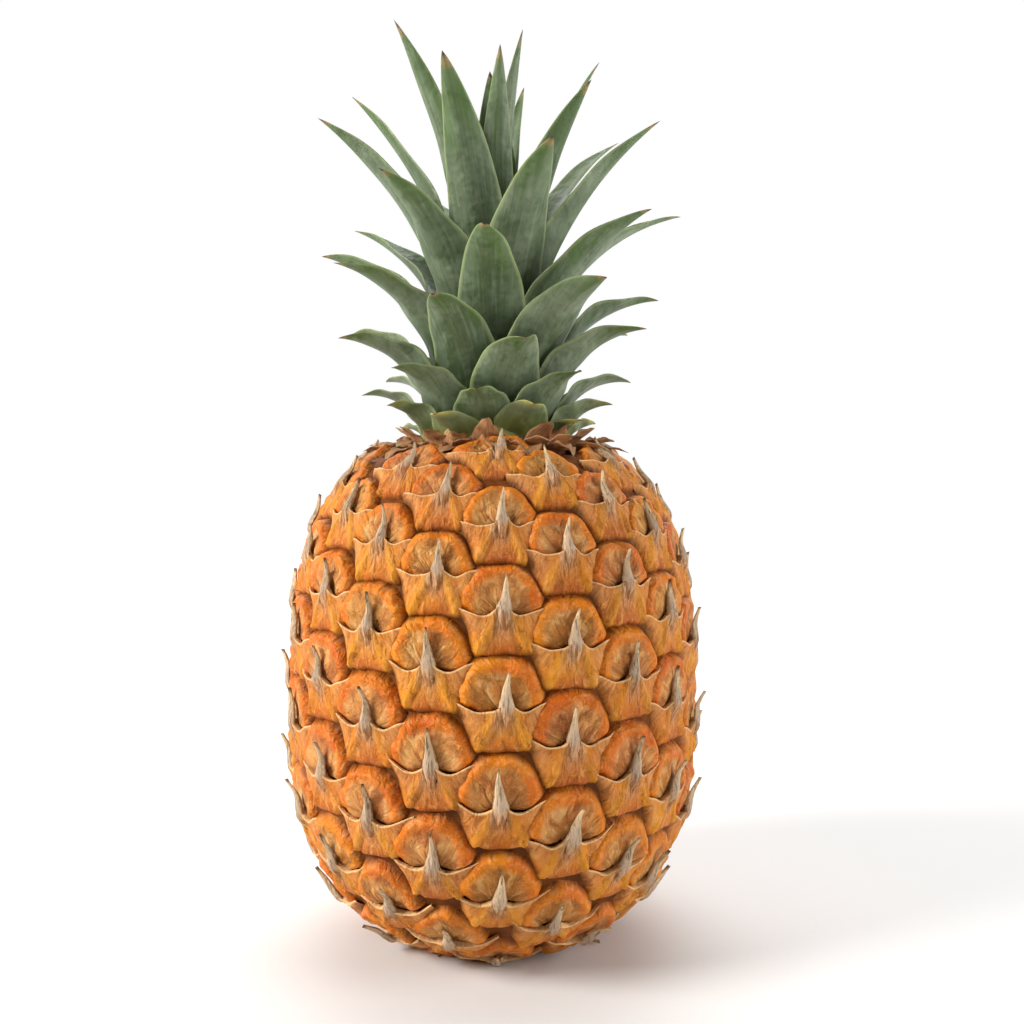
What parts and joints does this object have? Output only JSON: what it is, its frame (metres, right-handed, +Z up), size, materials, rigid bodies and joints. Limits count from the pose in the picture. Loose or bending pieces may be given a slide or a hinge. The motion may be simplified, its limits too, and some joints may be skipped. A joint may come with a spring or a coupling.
{
  "type": "whole pineapple",
  "caption": "Ripe whole pineapple with fused spiny eyes, dry neck bracts and a leafy green crown, standing upright on its cut stalk.",
  "frame": {"origin": "centre of the flat base, on the cut face of the stalk, where the pineapple rests on a surface", "axes": "+Z up along the fruit's axis towards the crown, -Y towards the viewer of the picture"},
  "size_m": [0.132, 0.1322, 0.281],
  "materials": {
    "rind": "waxy ripe rind, orange rims, tan sunken discs and grey papery spines",
    "cut_stalk": "dry fibrous cut stem",
    "dry_bract": "dry papery bracts, pinkish brown",
    "crown_leaf": "waxy grey-green leaves with lighter margins"
  },
  "bodies": {
    "root": {"fruit": "rind", "stalk": "cut_stalk", "neck_bracts": "dry_bract", "crown": "crown_leaf"}
  },
  "joints": []
}
